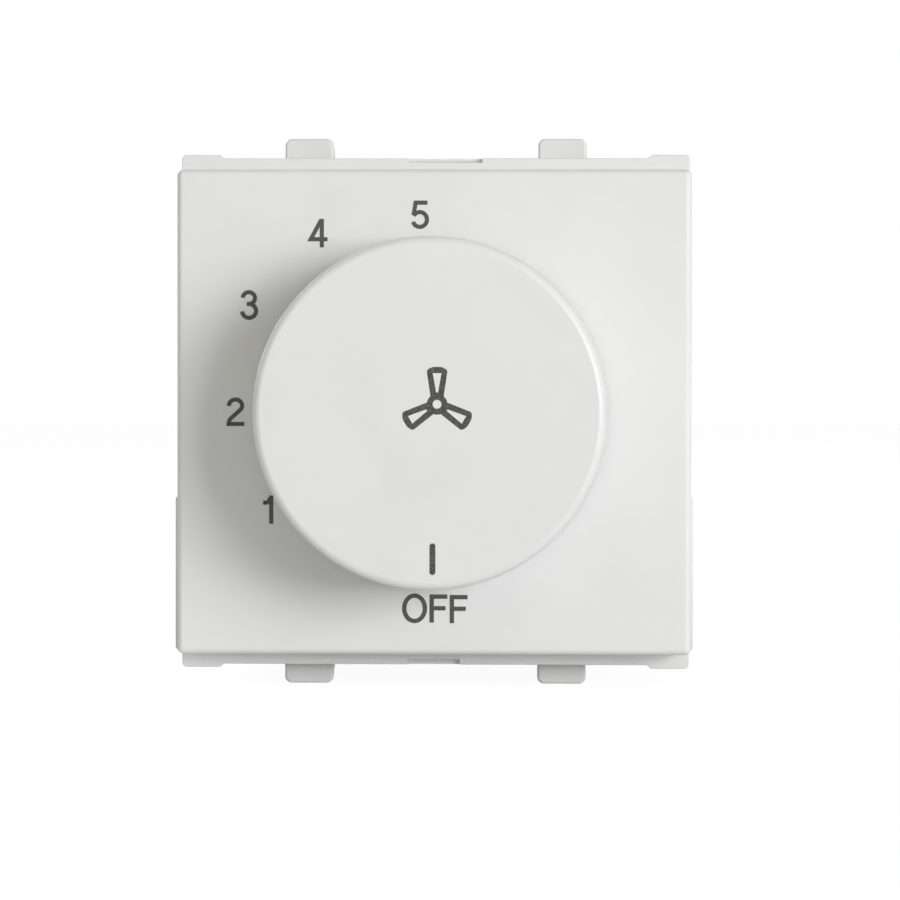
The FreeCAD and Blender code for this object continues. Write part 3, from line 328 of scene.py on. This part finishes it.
# Each finish: the darker and the lighter colour of its clouding, and what else sets it apart
PLASTICS = {
    "plate_plastic": ((230, 230, 228), (233, 233, 231), {}),
    "housing_plastic": (
        (226, 226, 223), (229, 229, 226),
        {"smooth": 0.5, "rough": 0.56, "grain": 0.003, "flow": 0.001},
    ),
    "knob_plastic": (
        (229, 229, 227), (232, 232, 230), {"smooth": 0.32, "rough": 0.4, "shine": 0.5},
    ),
    "rotor_plastic": ((222, 219, 202), (230, 228, 214), {"smooth": 0.3, "rough": 0.4}),
    "switch_plastic": ((38, 38, 40), (48, 48, 50), {"smooth": 0.35, "rough": 0.5}),
    "base_plastic": ((92, 56, 34), (112, 70, 44), {"smooth": 0.35, "rough": 0.5}),
    "capacitor_case": ((206, 160, 40), (220, 176, 52), {"smooth": 0.2, "rough": 0.3}),
    "board_laminate": (
        (158, 124, 70), (176, 142, 84), {"smooth": 0.35, "rough": 0.5, "grain": 0.004},
    ),
    "surge_resistor_coat": (
        (128, 134, 138), (146, 152, 156), {"smooth": 0.45, "rough": 0.6, "grain": 0.004},
    ),
    "bleed_resistor_coat": (
        (192, 166, 122), (208, 184, 140), {"smooth": 0.35, "rough": 0.5, "grain": 0.004},
    ),
}
METALS = {
    "spring_steel": ((176, 177, 180), (200, 201, 204), {"smooth": 0.16, "rough": 0.3}),
    "spindle_metal": (
        (196, 197, 200), (216, 217, 220), {"smooth": 0.2, "rough": 0.36, "stretch": (1, 12, 1)},
    ),
    "contact_brass": ((196, 164, 96), (222, 192, 122), {"smooth": 0.18, "rough": 0.34}),
    "terminal_brass": ((190, 158, 90), (220, 188, 116), {"smooth": 0.22, "rough": 0.4}),
    "screw_steel": ((184, 185, 184), (212, 213, 210), {"smooth": 0.22, "rough": 0.4}),
}
finishes = {}
for make, kinds in ((moulded_plastic, PLASTICS), (worked_metal, METALS)):
    for finish, (dark, light, apart) in kinds.items():
        finishes[finish] = make(finish, linear(*dark), linear(*light), **apart)
print_ink = printed_ink("print_ink", linear(58, 58, 54), linear(82, 82, 77))
groove_ink = printed_ink("groove_ink", linear(34, 34, 31), linear(88, 88, 82))


# Shapes


def linked(bm, name):
    """An object in the scene, made from a mesh in metres."""
    mesh = bpy.data.meshes.new(name)
    bm.to_mesh(mesh)
    bm.free()
    made = bpy.data.objects.new(name, mesh)
    bpy.context.scene.collection.objects.link(made)
    return made


def object_from(bm, name):
    """An object in the scene, made from a mesh in millimetres, with its normals set outward."""
    bmesh.ops.transform(bm, matrix=Matrix.Scale(MM, 4), verts=bm.verts[:])
    bmesh.ops.recalc_face_normals(bm, faces=bm.faces[:])
    return linked(bm, name)


def baked(made):
    """Applies an object's modifiers to its mesh."""
    bpy.context.view_layer.update()
    seen = made.evaluated_get(bpy.context.evaluated_depsgraph_get())
    mesh = bpy.data.meshes.new_from_object(seen)
    made.modifiers.clear()
    made.data = mesh


def combine(body, tool, operation):
    """Joins a tool shape to a body, or cuts it away, and drops the tool."""
    step = body.modifiers.new("step", "BOOLEAN")
    step.operation = operation
    step.solver = "EXACT"
    step.object = tool
    baked(body)
    bpy.data.objects.remove(tool)


def dress(made, body, material, sharp=sharp_degrees):
    """Shading, material and body of a finished piece."""
    made.data.shade_smooth()
    made.data.set_sharp_from_angle(angle=math.radians(sharp))
    even = made.modifiers.new("even_shading", "WEIGHTED_NORMAL")
    even.keep_sharp = True
    made.data.materials.clear()
    made.data.materials.append(material)
    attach(made, body)


def rounded(bm, edges, size, steps, clamp=False):
    """Rounds edges with a radius, in a number of steps."""
    bmesh.ops.bevel(
        bm, geom=edges, offset=size, offset_type="OFFSET", affect="EDGES",
        segments=steps, profile=0.5, material=-1, clamp_overlap=clamp,
    )


def pull_back(bm, pulled, depth):
    """Moves the new ends of an extrusion towards the rear."""
    moved = [part for part in pulled if isinstance(part, bmesh.types.BMVert)]
    bmesh.ops.translate(bm, vec=(0, depth, 0), verts=moved)


def block(name, low, high):
    """A box between two corners."""
    bm = bmesh.new()
    size = [b - a for a, b in zip(low, high)]
    middle = [(a + b) / 2 for a, b in zip(low, high)]
    place = Matrix.Translation(middle) @ Matrix.Diagonal((*size, 1))
    bmesh.ops.create_cube(bm, size=1, matrix=place)
    return object_from(bm, name)


def hub_rod(name, radius, front, rear):
    """A round rod along the knob's axis, from front to rear."""
    bm = bmesh.new()
    place = Matrix.Translation((0, (front + rear) / 2, 0)) @ Matrix.Rotation(math.pi / 2, 4, "X")
    bmesh.ops.create_cone(
        bm, cap_ends=True, segments=symbol_hub_steps, radius1=radius, radius2=radius,
        depth=rear - front, matrix=place,
    )
    return object_from(bm, name)


def flat_outline(points, front, rear, round_corners=(), corner=0.0):
    """A plate whose outline is given in X and Z, with some of its corners rounded."""
    bm = bmesh.new()
    face = bm.faces.new([bm.verts.new((x, front, z)) for x, z in points])
    pull_back(bm, bmesh.ops.extrude_face_region(bm, geom=[face])["geom"], rear - front)
    chosen = []
    for edge in bm.edges:
        a, b = (vert.co for vert in edge.verts)
        upright = abs(a.x - b.x) < near and abs(a.z - b.z) < near
        if upright and any(abs(a.x - x) < near and abs(a.z - z) < near for x, z in round_corners):
            chosen.append(edge)
    if chosen:
        rounded(bm, chosen, corner, corner_steps)
    return bm


def fan_symbol(name, front, rear):
    """The hub ring and the three hollow blades."""
    tip, crown = symbol_tip_width / 2, symbol_crown_width / 2
    start = (symbol_hub_inner + symbol_hub_outer) / 2
    share = (start - symbol_hub_inner) / (symbol_shoulder - symbol_hub_inner)
    foot = symbol_root_width / 2 * (1 - share) + tip * share
    blade = [
        (-foot, start), (-tip, symbol_shoulder), (-crown, symbol_reach),
        (crown, symbol_reach), (tip, symbol_shoulder), (foot, start),
    ]
    side, root = symbol_window_width / 2, symbol_window_root_width / 2
    window = [
        (-root, symbol_window_root), (-side, symbol_window_reach),
        (side, symbol_window_reach), (root, symbol_window_root),
    ]
    hub = hub_rod(name, symbol_hub_outer, front, rear)
    for part, outline, low, high, corners, operation in (
        ("blade", blade, front, rear, blade[1:5], "UNION"),
        ("window", window, front - past, rear + past, (), "DIFFERENCE"),
    ):
        for index in range(symbol_blades):
            bm = flat_outline(outline, low, high, corners, symbol_corner)
            turn = share_of_turn(index, symbol_blades)
            bmesh.ops.transform(bm, matrix=turn, verts=bm.verts[:])
            combine(hub, object_from(bm, part), operation)
    bore = hub_rod("bore", symbol_hub_inner, front - past, rear + past)
    combine(hub, bore, "DIFFERENCE")
    hub.data.transform(Matrix.Translation(millimetres(symbol_x, 0, symbol_z)))
    return hub


def pointer_line(name, front, rear):
    """The pointer: a short straight line with round ends."""
    half = pointer_width / 2
    left, right = pointer_x - half, pointer_x + half
    outline = [
        (left, -pointer_outer), (left, -pointer_inner),
        (right, -pointer_inner), (right, -pointer_outer),
    ]
    return object_from(flat_outline(outline, front, rear, outline, pointer_end_share * half), name)


def ring_edges(bm, radius, y):
    """The edges of a turned form's ring."""

    def on_ring(spot):
        return abs(spot.y - y) < near and abs(math.hypot(spot.x, spot.z) - radius) < near

    return [edge for edge in bm.edges if all(on_ring(vert.co) for vert in edge.verts)]


def build_knob():
    """The knob: a hollow turned form with a soft front edge, boss, ribs and engraving."""
    inner_y = knob_front_y + knob_wall
    outline = [
        (0, knob_front_y),
        (knob_radius, knob_front_y),
        (knob_base_radius, knob_rear_y),
        (knob_base_radius - knob_wall, knob_rear_y),
        (knob_radius - knob_wall, inner_y),
        (knob_boss_radius, inner_y),
        (knob_boss_radius, knob_boss_end_y),
        (knob_bore_radius, knob_boss_end_y),
        (knob_bore_radius, inner_y),
        (0, inner_y),
    ]
    bm = bmesh.new()
    points = [bm.verts.new((radius, y, 0)) for radius, y in outline]
    edges = [bm.edges.new(pair) for pair in zip(points, points[1:])]
    bmesh.ops.spin(
        bm, geom=points + edges, cent=(0, 0, 0), axis=FRONT_TO_REAR, angle=2 * math.pi,
        steps=knob_turn_steps, use_merge=True,
    )
    bmesh.ops.remove_doubles(bm, verts=bm.verts[:], dist=knob_weld)
    bmesh.ops.recalc_face_normals(bm, faces=bm.faces[:])
    for radius, y, size, steps in (
        (knob_radius, knob_front_y, knob_edge_radius, knob_edge_steps),
        (knob_base_radius, knob_rear_y, knob_rim_radius, knob_rim_steps),
    ):
        rounded(bm, ring_edges(bm, radius, y), size, steps)
    knob = object_from(bm, "knob_moulding")

    half = knob_rib_thickness / 2
    rib_low = (-half, inner_y - sunk, knob_boss_radius - sunk)
    rib_high = (half, knob_rib_end_y, knob_radius - knob_wall / 2)
    for index in range(knob_rib_count):
        rib = block("rib", rib_low, rib_high)
        rib.data.transform(share_of_turn(index, knob_rib_count))
        combine(knob, rib, "UNION")

    side = knob_bore_radius + knob_key_margin
    key_low = (-side, inner_y - sunk, -side)
    combine(knob, block("key", key_low, (side, knob_boss_end_y, knob_flat_z)), "UNION")
    slot = block(
        "slot",
        (-grip_slot_width / 2, grip_slot_start_y, knob_flat_z - grip_slot_depth),
        (grip_slot_width / 2, knob_boss_end_y + past, knob_flat_z + grip_slot_overlap),
    )
    combine(knob, slot, "DIFFERENCE")

    low, high = knob_front_y - past, knob_front_y + engraving_depth
    combine(knob, pointer_line("groove", low, high), "DIFFERENCE")
    combine(knob, fan_symbol("groove", low, high), "DIFFERENCE")
    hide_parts("knob")
    dress(knob, "dial", finishes["knob_plastic"])


def build_groove_ink():
    """Ink that nearly fills the pointer and the fan symbol."""
    front = knob_front_y + ink_set_back
    rear = knob_front_y + engraving_depth
    pointer_ink = pointer_line("pointer_ink", front, rear)
    symbol_ink = fan_symbol("fan_symbol_ink", front, rear)
    for ink in (pointer_ink, symbol_ink):
        dress(ink, "dial", groove_ink)


def on_flange(spot):
    """The flange's front rims, above and below the face."""
    return abs(spot.z) > flange_rims_z and spot.y < flange_rims_y


def on_side_pad(spot):
    """The side pads' outer rims."""
    return abs(spot.x) > pad_rims_x


def on_clip(spot):
    """The snap clips' rims, as far as they stand past the flange."""
    return abs(spot.z) > clip_rims_z


def soften_rims(bm, softness, chosen):
    """Rounds the sharp outward edges whose ends both lie in a chosen group of rims."""
    rims = []
    for edge in bm.edges:
        inside = all(chosen(vert.co / MM) for vert in edge.verts)
        if inside and edge.is_manifold and edge.is_convex:
            if edge.calc_face_angle() > math.radians(sharp_degrees):
                rims.append(edge)
    rounded(bm, rims, softness * MM, rim_steps, clamp=True)


def moulded_copy(node, name, body, slot, rims, cuts=()):
    """A merged copy of a moulding with softened outer rims, which end at level cuts if given."""
    bm = bmesh.new()
    bm.from_mesh(frame["nodes"][node].data)
    bmesh.ops.remove_doubles(bm, verts=bm.verts[:], dist=moulding_weld * MM)
    bmesh.ops.dissolve_limit(
        bm, angle_limit=math.radians(flat_degrees), verts=bm.verts[:], edges=bm.edges[:],
        delimit={"NORMAL"},
    )
    for height in cuts:
        bmesh.ops.bisect_plane(
            bm, geom=bm.verts[:] + bm.edges[:] + bm.faces[:], dist=cut_snap * MM,
            plane_co=(0, 0, height * MM), plane_no=UPWARD,
        )
    for softness, chosen in rims:
        soften_rims(bm, softness, chosen)
    made = linked(bm, name)
    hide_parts(node)
    dress(made, body, finishes[slot])


# The dial's print: each mark has its middle and its strokes. A stroke's straights are given by
# their ends, from the mark's middle, and its arcs by centre, two radii and two angles.
NUMBERS = {
    "one": (-14.39, -8.49, [
        [(0.274, 1.23), (0.274, -1.23)],
        [(-0.44, 0.6), (-0.16, 0.6), (-0.13, 1.2, 0.3, 0.59, -90, -15)],
    ]),
    "two": (-17.23, 0.01, [
        [
            (0, 0.531, 0.574, 0.531, 184, -48),
            (-0.219, -1.063, 0.381, 0.55, 120, 180),
            (0.77, -1.063),
        ],
    ]),
    "three": (-16.05, 9.28, [
        [(-0.02, 0.6, 0.53, 0.514, 177, -90), (-0.2, 0.086)],
        [(0, -0.514, 0.61, 0.6, 90, -176)],
    ]),
    "four": (-10.08, 15.52, [
        [(0.18, -0.531), (-0.61, -0.531), (0.29, 1.12)],
        [(0.351, 1.24), (0.351, -1.24)],
        [(0.52, -0.531), (0.848, -0.531)],
    ]),
    "five": (-1.22, 17.1, [
        [(0.66, 1.058), (-0.37, 1.058), (-0.54, -0.04)],
        [(0, -0.398, 0.617, 0.643, 150, -162)],
    ]),
}
LETTER_O = [[(0, 0, 0.9, 1.105, 0, 352), (0.9, 0)]]
LETTER_F = [
    [(0, -1.222), (0, 1.042), (1.36, 1.042)],
    [(word_line / 2, 0.03), (1.21, 0.03)],
]
WORD_OFF = [(-1.632, -17.04, LETTER_O), (-0.145, -17.06, LETTER_F), (1.61, -17.1, LETTER_F)]


def line_wall(steps, front, rear):
    """The middle of a stroke, as a wall."""
    bm = bmesh.new()
    last = None
    for step in steps:
        before = len(bm.verts)
        if len(step) == 2:
            first = bm.verts.new((step[0], front, step[1]))
            end = first
        else:
            x, z, radius_x, radius_z, start, stop = step
            angle = math.radians(start)
            first = bm.verts.new((math.cos(angle), front, math.sin(angle)))
            spun = bmesh.ops.spin(
                bm, geom=[first], cent=(0, front, 0), axis=REAR_TO_FRONT,
                angle=math.radians(stop - start),
                steps=max(arc_fewest_steps, int(abs(stop - start) / arc_step_degrees)),
            )
            end = [part for part in spun["geom_last"] if isinstance(part, bmesh.types.BMVert)][0]
            bm.verts.ensure_lookup_table()
            arc = [bm.verts[index] for index in range(before, len(bm.verts))]
            fit = Matrix.Translation((x, 0, z)) @ Matrix.Diagonal((radius_x, 1, radius_z, 1))
            bmesh.ops.transform(bm, matrix=fit, verts=arc)
        if last is not None:
            bm.edges.new((last, first))
        last = end
    bmesh.ops.remove_doubles(bm, verts=bm.verts[:], dist=stroke_weld)
    pull_back(bm, bmesh.ops.extrude_edge_only(bm, edges=bm.edges[:])["geom"], rear - front)
    return bm


def drawn(strokes, line, x, z):
    """A figure or letter on the face: strokes of an even line, joined into one layer of ink."""
    figure = None
    for steps in strokes:
        bm = line_wall(steps, face_y - print_thickness, face_y + print_sink)
        bmesh.ops.translate(bm, vec=(x, 0, z), verts=bm.verts[:])
        stroke = object_from(bm, "stroke")
        thick = stroke.modifiers.new("line", "SOLIDIFY")
        thick.thickness = line * MM
        thick.offset = 0.0
        thick.use_even_offset = True
        baked(stroke)
        if figure is None:
            figure = stroke
        else:
            combine(figure, stroke, "UNION")
    return figure


def merged(name, parts):
    """Several objects' meshes as one object."""
    bm = bmesh.new()
    for part in parts:
        bm.from_mesh(part.data)
        bpy.data.objects.remove(part)
    bmesh.ops.recalc_face_normals(bm, faces=bm.faces[:])
    return linked(bm, name)


def build_print():
    """The speeds 1 to 5 and the word OFF, printed on the face."""
    parts = []
    for line, marks in ((number_line, NUMBERS.values()), (word_line, WORD_OFF)):
        for x, z, strokes in marks:
            parts.append(drawn(strokes, line, x, z))
    made = merged("dial_print", parts)
    dress(made, "module", print_ink, print_sharp_degrees)


# Pieces

for subpart in frame["record"]["subparts"]:
    for place in frame["nodes"][subpart["node"]].material_slots:
        place.material = finishes[subpart["material_slot"]]

build_knob()
build_groove_ink()
plate_rims = ((flange_softness, on_flange), (pad_softness, on_side_pad))
clip_rims = ((clip_softness, on_clip),)
clip_cuts = (clip_cut_z, -clip_cut_z)
moulded_copy("front_plate", "front_plate_moulding", "module", "plate_plastic", plate_rims)
moulded_copy(
    "rear_housing", "rear_housing_moulding", "module", "housing_plastic", clip_rims, clip_cuts
)
build_print()


# Floor, light and camera


def white_when_seen(tree, seen_shader, soft_shader):
    """Mixes two shaders: one for the camera, reflections and glass, one for soft light."""
    paths = tree.nodes.new("ShaderNodeLightPath")
    seen = paths.outputs["Is Camera Ray"]
    for ray in ("Is Glossy Ray", "Is Transmission Ray"):
        either = tree.nodes.new("ShaderNodeMath")
        either.operation = "MAXIMUM"
        tree.links.new(seen, either.inputs[0])
        tree.links.new(paths.outputs[ray], either.inputs[1])
        seen = either.outputs[0]
    mix = tree.nodes.new("ShaderNodeMixShader")
    tree.links.new(seen, mix.inputs[0])
    tree.links.new(soft_shader, mix.inputs[1])
    tree.links.new(seen_shader, mix.inputs[2])
    return mix.outputs[0]


def build_floor():
    """A pale floor under the clips that looks white and keeps a faint shadow."""
    bm = bmesh.new()
    bmesh.ops.create_grid(bm, x_segments=1, y_segments=1, size=floor_half_width)
    bmesh.ops.translate(bm, vec=(0, 0, cad_low.z / MM), verts=bm.verts[:])
    floor = object_from(bm, "floor")
    material = bpy.data.materials.new("floor_paper")
    material.use_nodes = True
    tree = material.node_tree
    tree.nodes.clear()
    paper = tree.nodes.new("ShaderNodeBsdfDiffuse")
    paper.inputs["Color"].default_value = floor_paper_colour
    thin = tree.nodes.new("ShaderNodeBsdfDiffuse")
    thin.inputs["Color"].default_value = floor_thin_colour
    glow = tree.nodes.new("ShaderNodeEmission")
    glow.inputs["Strength"].default_value = floor_glow
    seen = tree.nodes.new("ShaderNodeAddShader")
    tree.links.new(thin.outputs[0], seen.inputs[0])
    tree.links.new(glow.outputs[0], seen.inputs[1])
    surface = white_when_seen(tree, seen.outputs[0], paper.outputs[0])
    output = tree.nodes.new("ShaderNodeOutputMaterial")
    tree.links.new(surface, output.inputs["Surface"])
    floor.data.materials.append(material)


def build_room():
    """A pale room that looks white. Its soft light is stronger from front and rear than from
    the sides."""
    world = bpy.data.worlds.new("studio")
    bpy.context.scene.world = world
    world.use_nodes = True
    tree = world.node_tree
    tree.nodes.clear()
    seen = tree.nodes.new("ShaderNodeBackground")
    seen.inputs["Color"].default_value = room_white
    soft = tree.nodes.new("ShaderNodeBackground")
    soft.inputs["Color"].default_value = room_soft_colour
    way = tree.nodes.new("ShaderNodeTexCoord")
    parts = tree.nodes.new("ShaderNodeSeparateXYZ")
    depth = tree.nodes.new("ShaderNodeMath")
    depth.operation = "ABSOLUTE"
    strength = tree.nodes.new("ShaderNodeMapRange")
    strength.inputs["To Min"].default_value = room_side_strength
    strength.inputs["To Max"].default_value = room_end_strength
    tree.links.new(way.outputs["Generated"], parts.inputs[0])
    tree.links.new(parts.outputs["Y"], depth.inputs[0])
    tree.links.new(depth.outputs[0], strength.inputs["Value"])
    tree.links.new(strength.outputs["Result"], soft.inputs["Strength"])
    surface = white_when_seen(tree, seen.outputs[0], soft.outputs[0])
    output = tree.nodes.new("ShaderNodeOutputWorld")
    tree.links.new(surface, output.inputs["Surface"])


def build_lamp(name, across, rise, power):
    """A soft box aimed at the middle of the seat from a direction in degrees."""
    across, rise = math.radians(across), math.radians(rise)
    level = math.cos(rise)
    way = Vector((math.sin(across) * level, -math.cos(across) * level, math.sin(rise)))
    lamp = bpy.data.lights.new(name, "AREA")
    lamp.shape = "RECTANGLE"
    lamp.size = lamp_width
    lamp.size_y = lamp_height
    lamp.energy = power
    lamp.color = lamp_colour
    holder = bpy.data.objects.new(name, lamp)
    holder.location = way * lamp_distance
    holder.rotation_euler = (-way).to_track_quat("-Z", "Y").to_euler()
    bpy.context.scene.collection.objects.link(holder)


def build_camera():
    """The photograph's viewpoint: a little right of the knob's axis and above it, turned
    slightly to the left and down."""
    yaw, pitch, roll = (math.radians(turn) for turn in (camera_yaw, camera_pitch, camera_roll))
    level = Vector((math.cos(yaw), -math.sin(yaw), 0))
    forward = Vector(
        (math.sin(yaw) * math.cos(pitch), math.cos(yaw) * math.cos(pitch), math.sin(pitch))
    )
    rise = level.cross(forward)
    right = level * math.cos(roll) + rise * math.sin(roll)
    up = rise * math.cos(roll) - level * math.sin(roll)
    turn = Matrix((right, up, -forward)).transposed().to_4x4()
    lens = bpy.data.cameras.new("camera")
    lens.lens = camera_lens
    lens.sensor_width = camera_sensor
    lens.clip_start = camera_nearest
    lens.clip_end = camera_farthest
    camera = bpy.data.objects.new("camera", lens)
    camera.matrix_world = Matrix.Translation(camera_place) @ turn
    bpy.context.scene.collection.objects.link(camera)
    bpy.context.scene.camera = camera


build_floor()
build_room()
for name, (across, rise, power) in LAMPS.items():
    build_lamp(name, across, rise, power)
build_camera()
bpy.context.scene.view_settings.view_transform = "Standard"
